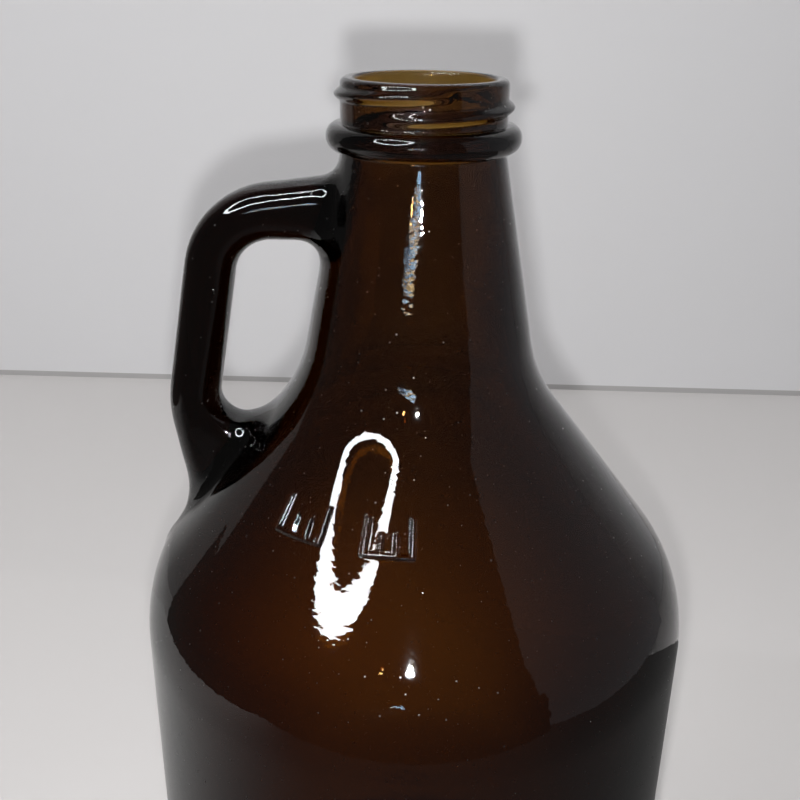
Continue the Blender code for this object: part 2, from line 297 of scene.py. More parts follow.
def thread_rise(degrees, depth):
    """Height of the screw thread's ridge above the finish's plain wall."""
    rise = np.zeros_like(depth)
    first, last = THREAD_DEGREES
    for turn in (0.0, -360.0):
        along = degrees + turn
        centre = THREAD_DEPTH_AT_LEFT + PITCH * (-180.0 - along) / 360.0
        across = np.clip((depth - centre) / THREAD_HALF_WIDTH, -1.0, 1.0)
        ridge = (0.5 + 0.5 * np.cos(math.pi * across)) ** 0.75
        ends = ease((along - first) / THREAD_RUN_OUT) * ease((last - along) / THREAD_RUN_OUT)
        rise = np.maximum(rise, THREAD_RISE * ridge * ends)
    return rise


def mark_strokes():
    """The level mark as strokes, in millimetres along and down the shoulder: two short level
    lines with ruler ticks, the first and the last tick of each the long ones."""
    strokes = []
    last = MARK_TICKS - 1
    for start, spacing in MARK_SCALES:
        strokes.append(((start, MARK_BASE_LINE), (start + last * spacing, MARK_BASE_LINE)))
        for tick in range(MARK_TICKS):
            along = start + tick * spacing
            reach = LONG_TICK if tick in (0, last) else SHORT_TICK
            strokes.append(((along, MARK_BASE_LINE), (along, MARK_BASE_LINE - reach)))
    return strokes


def mark_rise(degrees, depth):
    """Height of the level mark above the shoulder."""
    radius = float(wall_radius(MARK_DEPTH))
    along = np.radians(degrees - MARK_FIRST_DEGREES) * radius
    down = (depth - MARK_DEPTH) * math.hypot(1, SHOULDER_SLOPE)
    nearest = np.full(degrees.shape, 99.0)
    for (x0, y0), (x1, y1) in mark_strokes():
        dx, dy = x1 - x0, y1 - y0
        share = np.clip(((along - x0) * dx + (down - y0) * dy) / (dx * dx + dy * dy), 0.0, 1.0)
        nearest = np.minimum(nearest, np.hypot(along - x0 - share * dx, down - y0 - share * dy))
    return MARK_HEIGHT * ease((1.0 - nearest / MARK_HALF_STROKE) * 1.5)


def inner_waves(degrees, depth):
    """Blown glass is uneven inside: slow swells, a neck that is a little thick, and an oval
    inside, so that the wall is thickest to the right and on the handle's side."""
    turn = np.radians(degrees)
    swell = 0.16 * np.sin(2 * turn + depth / 37.0) + 0.10 * np.sin(3 * turn - depth / 21.0 + 1.3)
    swell += 0.05 * np.sin(7 * turn + depth / 11.0 + 0.4)
    swell -= 0.6 * np.cos(2 * turn + 0.35) + 0.15 * np.cos(turn + 0.25)
    swell -= 0.4 * ease((70.0 - depth) / 20.0)
    return swell * ease((depth - 25.0) / 30.0) * ease((HEIGHT - 30.0 - depth) / 20.0)


def distance_to_outline(x, y, outline):
    """Signed distance to a closed outline, negative inside."""
    nearest = np.full(x.shape, 1e9)
    inside = np.zeros(x.shape, bool)
    for (x0, y0), (x1, y1) in zip(outline, np.roll(outline, -1, axis=0)):
        dx, dy = x1 - x0, y1 - y0
        long = dx * dx + dy * dy
        if long < 1e-12:
            continue
        share = np.clip(((x - x0) * dx + (y - y0) * dy) / long, 0.0, 1.0)
        nearest = np.minimum(nearest, np.hypot(x - x0 - share * dx, y - y0 - share * dy))
        if y0 != y1:
            crosses = (y0 > y) != (y1 > y)
            inside ^= crosses & (x < x0 + (y - y0) * dx / dy)
    return np.where(inside, -nearest, nearest)


class Handle:
    """The handle and the wall it grows from, as one implicit surface: value() is negative in
    the glass and positive in the air."""

    GRID = 0.25
    X_RANGE = (-72.0, -8.0)
    DEPTH_RANGE = (8.0, 124.0)
    RING_REACH = 16.0  # no section is wider than this from its middle
    PATCH_FADE = 3.0
    PATCH_SIDE_FADE = 6.0  # degrees

    def __init__(self):
        xs = np.arange(self.X_RANGE[0], self.X_RANGE[1] + self.GRID, self.GRID)
        depths = np.arange(self.DEPTH_RANGE[0], self.DEPTH_RANGE[1] + self.GRID, self.GRID)
        x, depth = np.meshgrid(xs, depths, indexing="ij")
        outer = distance_to_outline(x, depth, rounded(HANDLE_OUTLINE))
        hole = distance_to_outline(x, depth, rounded(FINGER_HOLE))
        self.side_view = np.maximum(outer, -hole)

    def side_distance(self, x, depth):
        across = np.clip((x - self.X_RANGE[0]) / self.GRID, 0, self.side_view.shape[0] - 1.001)
        down = np.clip((depth - self.DEPTH_RANGE[0]) / self.GRID, 0, self.side_view.shape[1] - 1.001)
        i, j = across.astype(int), down.astype(int)
        u, v = across - i, down - j
        grid = self.side_view
        return (
            grid[i, j] * (1 - u) * (1 - v)
            + grid[i + 1, j] * u * (1 - v)
            + grid[i, j + 1] * (1 - u) * v
            + grid[i + 1, j + 1] * u * v
        )

    def value(self, points):
        x, y, depth = points[..., 0], points[..., 1], HEIGHT - points[..., 2]
        body = (np.hypot(x, y) - wall_radius(depth)) / np.hypot(1.0, wall_slope(depth))
        taper_from, taper_over, taper_loss, power = ROOT_TAPER
        taper = np.clip((depth - taper_from) / taper_over, 0.0, 1.2)
        half_width = np.maximum(HANDLE_HALF_WIDTH - taper_loss * taper**power, 0.6)
        thick = HANDLE_HALF_THICKNESS
        inward = np.maximum(thick + self.side_distance(x, depth), 0.0) / thick
        across = np.abs(y) / half_width
        shape = (inward**SECTION_POWER + across**SECTION_POWER) ** (1.0 / SECTION_POWER)
        handle = (shape - 1.0) * np.minimum(thick, half_width)
        # the fillet is widest under the arm, and runs out down the root
        fillet = 3.5 + 3.0 * ease((depth - 24.0) / 8.0) - 2.0 * ease((depth - 46.0) / 14.0)
        fillet -= 3.3 * ease((depth - 92.0) / 14.0)
        blend = np.maximum(fillet - np.abs(body - handle), 0.0) ** 2 / (4.0 * fillet)
        return np.minimum(body, handle) - blend * self.near_joint(x, y, depth)

    def near_joint(self, x, y, depth):
        """1 where the handle meets the wall, fading to 0 at the edges of the two patches."""
        side = np.degrees(np.arctan2(np.abs(y), -x))
        share = np.zeros(x.shape)
        for patch in (ARM_PATCH, ROOT_PATCH):
            top, bottom = patch["depths"]
            reach = patch["columns"] * STEP_DEGREES / 2
            inside = ease((depth - top) / self.PATCH_FADE) * ease((bottom - depth) / self.PATCH_FADE)
            share = np.maximum(share, inside * ease((reach - side) / self.PATCH_SIDE_FADE))
        return share

    def project(self, points, rounds=6):
        """Moves points onto the surface along the value's gradient."""
        step = 0.05
        for _ in range(rounds):
            here = self.value(points)
            gradient = np.stack([
                (self.value(points + step * axis) - self.value(points - step * axis)) / (2 * step)
                for axis in np.eye(3)
            ], axis=-1)
            size = np.maximum((gradient**2).sum(-1), 0.2)
            move = -(here / size)[..., None] * gradient
            long = np.maximum(np.linalg.norm(move, axis=-1, keepdims=True), 1e-9)
            points = points + move * np.minimum(1.0, 2.0 / long)
        return points

    def ring(self, pivot, angle, middle, count):
        """The surface's section in a plane through the pivot that holds the Y axis. The angle
        turns from straight up to straight towards the handle's back."""
        out = np.array([-math.sin(angle), 0.0, math.cos(angle)])
        centre = np.array([pivot[0], 0.0, HEIGHT - pivot[1]]) + out * middle
        turn = np.arange(count) * math.tau / count
        rays = np.cos(turn)[:, None] * out + np.sin(turn)[:, None] * np.array([0.0, 1.0, 0.0])
        reach = np.linspace(0.0, self.RING_REACH, 65)
        values = self.value(centre + rays[:, None, :] * reach[None, :, None])
        first_out = np.argmax(values > 0.0, axis=1)
        far = reach[first_out]
        near = reach[np.maximum(first_out - 1, 0)]
        for _ in range(24):
            half = (near + far) / 2
            out_there = self.value(centre + rays * half[:, None]) > 0.0
            far = np.where(out_there, half, far)
            near = np.where(out_there, near, half)
        return centre + rays * ((near + far) / 2)[:, None]


def smooth_rings(handle, rings, rounds, free):
    """Evens out a stack of closed rings while it stays on the surface. Only rings in the slice
    free move."""
    for _ in range(rounds):
        around = (np.roll(rings, 1, axis=1) + np.roll(rings, -1, axis=1)) / 2
        along = rings.copy()
        along[1:-1] = (rings[2:] + rings[:-2]) / 2
        target = (around + along) / 2
        rings[free] = handle.project(rings[free] * 0.4 + target[free] * 0.6, rounds=1)
    rings[free] = handle.project(rings[free], rounds=3)
    return rings


def patch_perimeter(rows, columns, starts_low):
    """The rectangle's border as (row, column) pairs, from the middle of the side where the
    handle's outer face runs in, towards +Y and round."""
    top, bottom = rows
    left, right = columns  # left is the +Y side, as degrees fall below 180
    middle = (left + right) // 2
    start, far, step = (bottom, top, -1) if starts_low else (top, bottom, 1)
    path = [(start, c) for c in range(middle, left, -1)]
    path += [(r, left) for r in range(start, far, step)]
    path += [(far, c) for c in range(left, right)]
    path += [(r, right) for r in range(far, start, -step)]
    path += [(start, c) for c in range(right, middle, -1)]
    return path


def outside_rows():
    """Points down the outside, from the lip to near the centre of the base."""
    places, reached = rows_down(OUTSIDE, OUTSIDE_ROWS)
    along = lengths_along(OUTSIDE)
    heel_end = float(along[np.argmax(OUTSIDE[:, 1] > HEIGHT - 0.001)])
    ring_end = float(along[-1]) - PANEL_RADIUS + 1.5
    places += list(np.linspace(reached, heel_end, 14, endpoint=False))
    places += list(np.linspace(heel_end, ring_end, 12, endpoint=False))
    places += list(np.linspace(ring_end, float(along[-1]), 11, endpoint=False))
    return points_at(OUTSIDE, np.array(places))


def inside_rows(inside):
    """Points down the inside, from just past the lip's land to near the centre of the floor."""
    places, reached = rows_down(inside, INSIDE_ROWS)
    along = lengths_along(inside)
    floor_start = float(along[np.argmax(inside[:, 1] > HEIGHT - BASE_WALL - 0.001)])
    places += list(np.linspace(reached, floor_start, 10, endpoint=False))
    places += list(np.linspace(floor_start, float(along[-1]), 11, endpoint=False))
    return points_at(inside, np.array(places))[1:]


def wall_points(rows, first_outer):
    """The wall's grid of points, with its waves inside and its screw thread outside."""
    radius = np.repeat(rows[:, :1], COLUMNS, axis=1)
    depth = np.repeat(rows[:, 1:], COLUMNS, axis=1)
    degrees = np.repeat(COLUMN_DEGREES[None, :], len(rows), axis=0)
    radius[:first_outer] += inner_waves(degrees[:first_outer], depth[:first_outer])
    outer = np.arange(len(rows))[:, None] >= first_outer
    on_finish = (depth > 0.2) & (depth < BEAD_DEPTH) & outer
    radius = np.where(on_finish, radius + thread_rise(degrees, depth), radius)
    turn = np.radians(degrees)
    return np.stack([radius * np.cos(turn), radius * np.sin(turn), HEIGHT - depth], axis=-1)


def handle_openings(outer_rows, first_outer):
    """The two openings in the outer wall where the handle grows out, each as its first and last
    row, its left and right column, and whether the handle's outer face runs in at its foot."""
    openings = []
    middle = COLUMNS // 2
    for patch, starts_low in ((ARM_PATCH, False), (ROOT_PATCH, True)):
        first, last = (
            first_outer + int(np.argmin(np.abs(outer_rows[:, 1] - depth))) for depth in patch["depths"]
        )
        half = patch["columns"] // 2
        openings.append((first, last, middle - half, middle + half, starts_low))
    return openings


def add_wall(work, verts, rows, first_outer, openings):
    """The faces of the wall outside the openings. Returns those that carry the level mark."""
    marked = []
    for row in range(len(rows) - 1):
        for column in range(COLUMNS):
            if any(
                first <= row < last and left <= column < right
                for first, last, left, right, _ in openings
            ):
                continue
            after = (column + 1) % COLUMNS
            face = work.faces.new((
                verts[row, column],
                verts[row, after],
                verts[row + 1, after],
                verts[row + 1, column],
            ))
            in_width = MARKED_DEGREES[0] < COLUMN_DEGREES[column] < MARKED_DEGREES[1]
            in_height = MARKED_DEPTHS[0] < rows[row, 1] < MARKED_DEPTHS[1]
            if row >= first_outer and in_width and in_height:
                marked.append(face)
    return marked


def add_centres(work, verts, floor_height, base_height):
    """Fans that close the floor inside and the base outside."""
    floor_centre = work.verts.new((0.0, 0.0, floor_height))
    base_centre = work.verts.new((0.0, 0.0, base_height))
    for column in range(COLUMNS):
        after = (column + 1) % COLUMNS
        work.faces.new((floor_centre, verts[0, after], verts[0, column]))
        work.faces.new((base_centre, verts[-1, column], verts[-1, after]))


def build_jug_mesh():
    """The jug as one closed mesh. Its rows run from the centre of the floor up the inside, over
    the lip and down the outside."""
    inside = inside_outline()
    inner_rows = inside_rows(inside)
    outer_rows = outside_rows()
    rows = np.concatenate([inner_rows[::-1], outer_rows])
    first_outer = len(inner_rows)
    points = wall_points(rows, first_outer)
    openings = handle_openings(outer_rows, first_outer)

    work = bmesh.new()
    verts = np.empty((len(rows), COLUMNS), dtype=object)
    for row in range(len(rows)):
        for column in range(COLUMNS):
            verts[row, column] = work.verts.new(points[row, column])
    marked = add_wall(work, verts, rows, first_outer, openings)
    add_centres(work, verts, HEIGHT - inside[-1, 1], HEIGHT - OUTSIDE[-1, 1])
    add_handle(work, verts, points, openings)

    edges = list({edge for face in marked for edge in face.edges})
    bmesh.ops.subdivide_edges(work, edges=edges, cuts=MARK_CUTS, use_grid_fill=True)
    raise_marks(work)
    for vert in [found for found in work.verts if not found.link_faces]:
        work.verts.remove(vert)
    bmesh.ops.recalc_face_normals(work, faces=work.faces)
    mesh = bpy.data.meshes.new("growler")
    bmesh.ops.scale(work, vec=(MM, MM, MM), verts=work.verts)
    work.to_mesh(mesh)
    work.free()
    mesh.shade_smooth()
    return mesh


def raise_marks(work):
    """Sets the shoulder's refined part back on the true outline, and raises the mark on it."""
    margin = 2.0  # past the refined cells, in degrees and in millimetres
    half_wall = 1.5  # less than the wall is thick, so that this leaves out the inside
    found = []
    for vert in work.verts:
        depth = HEIGHT - vert.co.z
        degrees = math.degrees(math.atan2(vert.co.y, vert.co.x))
        in_width = MARKED_DEGREES[0] - margin < degrees < MARKED_DEGREES[1] + margin
        in_height = MARKED_DEPTHS[0] - margin < depth < MARKED_DEPTHS[1] + margin
        if in_width and in_height:
            if math.hypot(vert.co.x, vert.co.y) > float(wall_radius(depth)) - half_wall:
                found.append((vert, degrees, depth))
    degrees = np.array([entry[1] for entry in found])
    depth = np.array([entry[2] for entry in found])
    radius = wall_radius(depth)
    rise = mark_rise(degrees, depth)
    slope = wall_slope(depth)
    out = 1.0 / np.hypot(1.0, slope)
    turn = np.radians(degrees)
    for (vert, _, _), angle, wide, high, lean, away in zip(found, turn, radius, rise, slope, out):
        reach = wide + high * away
        vert.co.x = reach * math.cos(angle)
        vert.co.y = reach * math.sin(angle)
        vert.co.z += high * away * lean


def handle_rings(handle, count):
    """Sections of the handle clear of the wall: over the arm, down the grip, into the root."""
    lean = math.radians(90.0 - GRIP_LEAN_DEGREES)
    rings = []
    for step in range(ARM_STEPS + 1):
        rings.append(handle.ring(HOLE_TOP_CENTRE, lean * step / ARM_STEPS, ARM_MIDDLE, count))
    top = np.array(HOLE_TOP_CENTRE)
    bottom = np.array(HOLE_BOTTOM_CENTRE)
    for step in range(1, GRIP_STEPS + 1):
        share = step / GRIP_STEPS
        pivot = top + (bottom - top) * share
        middle = ARM_MIDDLE + (ROOT_MIDDLE - ARM_MIDDLE) * share
        rings.append(handle.ring(pivot, lean, middle, count))
    for step in range(1, ROOT_STEPS + 1):
        share = step / ROOT_STEPS
        angle = lean + math.radians(ROOT_BEND_DEGREES) * share
        middle = ROOT_MIDDLE + (ARM_MIDDLE - ROOT_MIDDLE) * share
        rings.append(handle.ring(HOLE_BOTTOM_CENTRE, angle, middle, count))
    return np.array(rings)


def add_handle(work, verts, points, openings):
    """Rings from one opening in the wall, along the handle and back into the other."""
    handle = Handle()
    paths = []
    for first, last, left, right, starts_low in openings:
        paths.append(patch_perimeter((first, last), (left, right), starts_low))
    count = len(paths[0])
    assert len(paths[1]) == count, "unequal borders"

    free = handle_rings(handle, count)
    arm_border = np.array([points[r, c] for r, c in paths[0]])
    root_border = np.array([points[r, c] for r, c in paths[1]])
    arm_share = np.linspace(0.0, 1.0, ARM_JOINT_STEPS + 1)[1:-1, None, None]
    root_share = np.linspace(0.0, 1.0, ROOT_JOINT_STEPS + 1)[1:-1, None, None]
    arm = handle.project(arm_border * (1 - arm_share) + free[0] * arm_share, rounds=10)
    root = handle.project(free[-1] * (1 - root_share) + root_border * root_share, rounds=10)
    rings = np.concatenate([[arm_border], arm, free, root, [root_border]])
    rings = smooth_rings(handle, rings, 30, slice(1, -1))

    made = [[verts[r, c] for r, c in paths[0]]]
    for ring in rings[1:-1]:
        made.append([work.verts.new(point) for point in ring])
    made.append([verts[r, c] for r, c in paths[1]])
    for ring, following in zip(made, made[1:]):
        for side in range(count):
            after = (side + 1) % count
            work.faces.new((ring[side], ring[after], following[after], following[side]))


# ---- cap and liner

CAP_RADIUS = 20.3
RIB_HEIGHT = 0.45
RIB_COUNT = 48
RIB_COLUMNS = 10  # mesh columns in each rib
RIB_SPAN = (1.7, 10.9)
CAP_EDGE_ROUND = 1.1
CAP_TOP_PLATE = 1.8
LINER_SEAT_RADIUS = 17.85
LINER_SEAT_HEIGHT = 3.4
CAP_THREAD_ROOT = 19.05
CAP_THREAD_RISE = 1.3
CAP_THREAD_HALF_WIDTH = 1.0
CAP_THREAD_LOW = 5.4
CAP_THREAD_DEGREES = 414.0
GROOVE = (14.2, 15.4, 0.25)  # a moulded ring in the top: inner and outer radius, depth
LINER_RADIUS = 17.5
LINER_THICKNESS = 1.0
CONE_BASE_RADIUS = 14.1
CONE_TIP_RADIUS = 12.3
CONE_WALL = 0.95


def turned(name, outline, columns, spacing, radius_field=None):
    """A closed solid turned about Z from an outline of (radius, height) that starts and ends on
    the axis. radius_field(degrees, radius, height) may change the radius."""
    along = lengths_along(outline)
    rows = points_at(outline, np.linspace(0.0, along[-1], round(along[-1] / spacing)))[1:-1]
    degrees = np.arange(columns) * 360.0 / columns
    wide, radius = np.meshgrid(degrees, rows[:, 0])
    height = np.repeat(rows[:, 1:], columns, axis=1)
    if radius_field:
        radius = radius + radius_field(wide, radius, height)
    turn = np.radians(wide)
    points = np.stack([radius * np.cos(turn), radius * np.sin(turn), height], axis=-1)
    coordinates = np.concatenate([
        points.reshape(-1, 3), [[0.0, 0.0, outline[0][1]], [0.0, 0.0, outline[-1][1]]]
    ])
    first, last = len(coordinates) - 2, len(coordinates) - 1
    faces = []
    for row in range(len(rows) - 1):
        for column in range(columns):
            after = (column + 1) % columns
            below, above = row * columns, (row + 1) * columns
            faces.append((below + column, above + column, above + after, below + after))
    end = (len(rows) - 1) * columns
    for column in range(columns):
        after = (column + 1) % columns
        faces.append((first, column, after))
        faces.append((last, end + after, end + column))
    mesh = bpy.data.meshes.new(name)
    mesh.from_pydata((coordinates * MM).tolist(), [], faces)
    work = bmesh.new()
    work.from_mesh(mesh)
    bmesh.ops.recalc_face_normals(work, faces=work.faces)
    work.to_mesh(mesh)
    work.free()
    mesh.shade_smooth()
    return mesh


def cap_outline():
    edge = CAP_RADIUS + 0.2
    inner, outer, groove = GROOVE
    rib_low, rib_high = RIB_SPAN
    return rounded([
        (0.0, 0.15, 0.0),
        (1.0, 0.15, 0.1),
        (1.25, 0.0, 0.1),
        (inner, 0.0, 0.1),
        (inner + groove, groove, 0.1),
        (outer - groove, groove, 0.1),
        (outer, 0.0, 0.1),
        (edge, 0.0, CAP_EDGE_ROUND),
        (edge, rib_low + 0.25, 0.15),
        (CAP_RADIUS, rib_low + 0.55, 0.15),
        (CAP_RADIUS, rib_high - 0.55, 0.15),
        (edge, rib_high - 0.25, 0.15),
        (edge, CAP_HEIGHT, 0.45),
        (CAP_THREAD_ROOT + 0.5, CAP_HEIGHT, 0.25),
        (CAP_THREAD_ROOT, CAP_HEIGHT - 0.7, 0.3),
        (CAP_THREAD_ROOT, LINER_SEAT_HEIGHT + 0.5, 0.2),
        (LINER_SEAT_RADIUS, LINER_SEAT_HEIGHT, 0.2),
        (LINER_SEAT_RADIUS, CAP_TOP_PLATE, 0.25),
        (0.0, CAP_TOP_PLATE, 0.0),
    ], arc_points=8)


def cap_field(degrees, radius, height):
    """Ribs round the skirt, and the screw thread inside it."""
    low, high = RIB_SPAN
    rib = 0.5 + 0.5 * np.cos(np.radians(degrees * RIB_COUNT))
    rib = ease((rib - 0.25) / 0.5)
    ends = ease((height - low) / 0.7) * ease((high - height) / 0.7)
    field = np.where(radius > CAP_RADIUS - 0.05, RIB_HEIGHT * rib * ends, 0.0)
    inside = (np.abs(radius - CAP_THREAD_ROOT) < 0.3) & (height > LINER_SEAT_HEIGHT)
    ridge = np.zeros(degrees.shape)
    for turn in (0.0, 360.0):
        along = (360.0 - degrees) % 360.0 + turn
        across = height - CAP_THREAD_LOW - PITCH * along / 360.0
        across = np.clip(across / CAP_THREAD_HALF_WIDTH, -1.0, 1.0)
        ends = ease(along / 30.0) * ease((CAP_THREAD_DEGREES - along) / 30.0)
        ridge = np.maximum(ridge, (0.5 + 0.5 * np.cos(math.pi * across)) ** 0.7 * ends)
    return field - np.where(inside, CAP_THREAD_RISE * ridge, 0.0)


def liner_outline():
    flange = LINER_BOTTOM + LINER_THICKNESS
    floor = LINER_BOTTOM + 0.85
    return rounded([
        (0.0, LINER_BOTTOM, 0.0),
        (LINER_RADIUS, LINER_BOTTOM, 0.35),
        (LINER_RADIUS, flange, 0.35),
        (CONE_BASE_RADIUS, flange, 0.5),
        (CONE_TIP_RADIUS, LINER_TIP, 0.42),
        (CONE_TIP_RADIUS - CONE_WALL, LINER_TIP, 0.42),
        (CONE_BASE_RADIUS - CONE_WALL, floor, 0.8),
        (9.0, floor, 0.15),
        (8.7, floor + 0.25, 0.15),
        (8.1, floor + 0.25, 0.15),
        (7.8, floor, 0.15),
        (0.0, floor, 0.0),
    ], arc_points=8)


def build_cap():
    mesh = turned("ribbed_cap", cap_outline(), RIB_COUNT * RIB_COLUMNS, 0.4, cap_field)
    cap = new_object("ribbed_cap", mesh, black_plastic())
    cap.location = CAP_PLACE_M
    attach(cap, "cap")
    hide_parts("cap_shell")


def build_liner():
    liner = new_object("cone_liner", turned("cone_liner", liner_outline(), 160, 0.25), liner_plastic())
    liner.location = CAP_PLACE_M
    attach(liner, "liner")
    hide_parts("cap_liner")


# ---- materials


def add_node(material, kind, inputs=None, **settings):
    node = material.node_tree.nodes.new(kind)
    for name, value in settings.items():
        setattr(node, name, value)
    for name, value in (inputs or {}).items():
        if isinstance(value, bpy.types.NodeSocket):
            material.node_tree.links.new(value, node.inputs[name])
        else:
            node.inputs[name].default_value = value
    return node


def new_material(name, **values):
    made = bpy.data.materials.new(name)
    made.use_nodes = True
    shader = made.node_tree.nodes["Principled BSDF"]
    for socket, value in values.items():
        shader.inputs[socket.replace("_", " ")].default_value = value
    return made, shader


def set_output(material, value, socket="Surface"):
    output = material.node_tree.nodes["Material Output"]
    material.node_tree.links.new(value, output.inputs[socket])


def noise(material, place, scale, detail, roughness):
    return add_node(
        material,
        "ShaderNodeTexNoise",
        {"Vector": place, "Scale": scale, "Detail": detail, "Roughness": roughness},
    ).outputs["Fac"]


def maths(material, operation, first, second=0.0, clamp=False):
    return add_node(
        material, "ShaderNodeMath", {0: first, 1: second}, operation=operation, use_clamp=clamp
    ).outputs[0]


def bump(material, height, distance_m, normal=None):
    inputs = {"Height": height, "Distance": distance_m, "Strength": 1.0}
    if normal is not None:
        inputs["Normal"] = normal
    return add_node(material, "ShaderNodeBump", inputs).outputs["Normal"]


def object_place(material):
    return add_node(material, "ShaderNodeTexCoord").outputs["Object"]


def amber_glass():
    """Clear glass whose colour comes from its thickness, with slow swells, a fine ripple that is
    strongest on the neck, and specks."""
    made, shader = new_material(
        "amber_glass",
        Base_Color=(1.0, 1.0, 1.0, 1.0),
        Roughness=0.02,
        IOR=1.52,
        Transmission_Weight=1.0,
    )
    place = object_place(made)
    flat = add_node(
        made, "ShaderNodeVectorMath", {0: place, 1: (1.0, 1.0, 1.3)}, operation="MULTIPLY"
    )
    ripple = noise(made, flat.outputs[0], 620.0, 1.0, 0.5)
    height = add_node(made, "ShaderNodeSeparateXYZ", {0: place}).outputs["Z"]
    neck = add_node(made, "ShaderNodeMapRange", {
        "Value": height, "From Min": 0.200, "From Max": 0.225, "To Min": 1.0, "To Max": 2.6,
    })
    finish = add_node(made, "ShaderNodeMapRange", {
        "Value": height, "From Min": 0.247, "From Max": 0.253, "To Min": 1.0, "To Max": 0.6,
    })
    strength = maths(made, "MULTIPLY", neck.outputs[0], finish.outputs[0])
    ripple = maths(made, "MULTIPLY", ripple, strength)
    swell = noise(made, place, 55.0, 2.0, 0.5)
    dots = specks(made, place)
    normal = bump(made, swell, 0.00006)
    normal = bump(made, ripple, 0.000012, normal=normal)
    normal = bump(made, dots, 0.00006, normal=normal)
    made.node_tree.links.new(normal, shader.inputs["Normal"])
    rough = maths(made, "ADD", maths(made, "MULTIPLY", dots, 0.4), 0.02)
    made.node_tree.links.new(rough, shader.inputs["Roughness"])
    absorb = add_node(
        made, "ShaderNodeVolumeAbsorption", {"Color": (0.62, 0.466, 0.05, 1.0), "Density": 1150.0}
    )
    set_output(made, absorb.outputs[0], "Volume")
    return made


def specks(material, place):
    """Dust and small seeds in the skin of the glass: sparse round dots, 0.1 to 0.3 mm across."""
    cells = add_node(
        material, "ShaderNodeTexVoronoi", {"Vector": place, "Scale": 520.0}, feature="F1"
    )
    split = add_node(material, "ShaderNodeSeparateColor", {"Color": cells.outputs["Color"]})
    chosen = maths(material, "GREATER_THAN", split.outputs[0], 0.30)
    radius = maths(material, "POWER", split.outputs[1], 3.0)
    radius = maths(material, "MULTIPLY", radius, 0.08)
    radius = maths(material, "ADD", radius, 0.04)
    near = maths(material, "LESS_THAN", cells.outputs["Distance"], radius)
    return maths(material, "MULTIPLY", chosen, near)


def black_plastic():
    """Moulded polypropylene with a satin skin that is uneven in gloss."""
    made, shader = new_material(
        "black_plastic", Base_Color=(0.014, 0.014, 0.015, 1.0), Roughness=0.38, IOR=1.49
    )
    place = object_place(made)
    cloud = noise(made, place, 90.0, 3.0, 0.6)
    rough = add_node(made, "ShaderNodeMapRange", {
        "Value": cloud, "From Min": 0.3, "From Max": 0.7, "To Min": 0.3, "To Max": 0.46,
    })
    made.node_tree.links.new(rough.outputs[0], shader.inputs["Roughness"])
    grain = noise(made, place, 2600.0, 2.0, 0.6)
    made.node_tree.links.new(bump(made, grain, 0.00002), shader.inputs["Normal"])
    return made


def liner_plastic():
    """Natural polythene: milky, waxy and a little translucent."""
    made, shader = new_material(
        "liner_plastic",
        Base_Color=(0.70, 0.72, 0.69, 1.0),
        Roughness=0.4,
        IOR=1.51,
        Subsurface_Weight=0.6,
        Subsurface_Radius=(1.0, 1.0, 0.9),
        Subsurface_Scale=0.0015,
    )
    place = object_place(made)
    cloud = noise(made, place, 160.0, 3.0, 0.6)
    rough = add_node(made, "ShaderNodeMapRange", {
        "Value": cloud, "From Min": 0.3, "From Max": 0.7, "To Min": 0.32, "To Max": 0.5,
    })
    made.node_tree.links.new(rough.outputs[0], shader.inputs["Roughness"])
    wax = noise(made, place, 900.0, 3.0, 0.6)
    made.node_tree.links.new(bump(made, wax, 0.00003), shader.inputs["Normal"])
    return made


def plain(name, colour, roughness):
    made, _ = new_material(name, Base_Color=(*colour, 1.0), Roughness=roughness)
    return made


# ---- studio


def quad(name, corners_m, material):
    mesh = bpy.data.meshes.new(name)
    mesh.from_pydata(corners_m, [], [tuple(range(len(corners_m)))])
    made = new_object(name, mesh, material)
    return made


def upright_corners(start, end, top):
    """The corners of an upright panel on the floor between two (x, y) places."""
    return [(*start, 0.0), (*end, 0.0), (*end, top), (*start, top)]


def emitter(name, colour, strength):
    made, _ = new_material(name)
    glow = add_node(made, "ShaderNodeEmission", {"Color": (*colour, 1.0), "Strength": strength})
    set_output(made, glow.outputs[0])
    return made


def area_light(name, centre, target, size, power):
    data = bpy.data.lights.new(name, "AREA")
    data.shape = "DISK"
    data.size = size
    data.energy = power
    made = bpy.data.objects.new(name, data)
    bpy.context.scene.collection.objects.link(made)
    made.location = centre
    made.rotation_mode = "QUATERNION"
    made.rotation_quaternion = (Vector(centre) - Vector(target)).to_track_quat("Z", "Y")
    made.visible_camera = False
    made.visible_glossy = False
    made.visible_transmission = False
    return made


def card(name, corners_m, material):
    """A panel that only reflections and refractions see."""
    made = quad(name, corners_m, material)
    made.visible_camera = False
    made.visible_diffuse = False
    made.visible_shadow = False
    return made


def lamp_face(centre, target, shape, material, name):
    """A flat glowing shape, given as (outer, inner) outlines in metres, that faces target."""
    outer, inner = shape
    mesh = bpy.data.meshes.new(name)
    count = len(outer)
    verts = [(x, y, 0.0) for x, y in (*outer, *inner)]
    faces = [
        (side, (side + 1) % count, count + (side + 1) % count, count + side)
        for side in range(count)
    ]
    mesh.from_pydata(verts, [], faces)
    made = new_object(name, mesh, material)
    away = (Vector(target) - Vector(centre)).normalized()
    across = Vector((0.0, 0.0, 1.0)).cross(away).normalized()
    axes = Matrix((across, away.cross(across), away)).transposed()
    made.matrix_world = Matrix.Translation(centre) @ axes.to_4x4()
    made.visible_camera = False
    made.visible_diffuse = False
    return made


def ring_shape(outer, inner, count=128):
    angles = [math.tau * step / count for step in range(count)]
    return [
        [(radius * math.cos(angle), radius * math.sin(angle)) for angle in angles]
        for radius in (outer, inner)
    ]


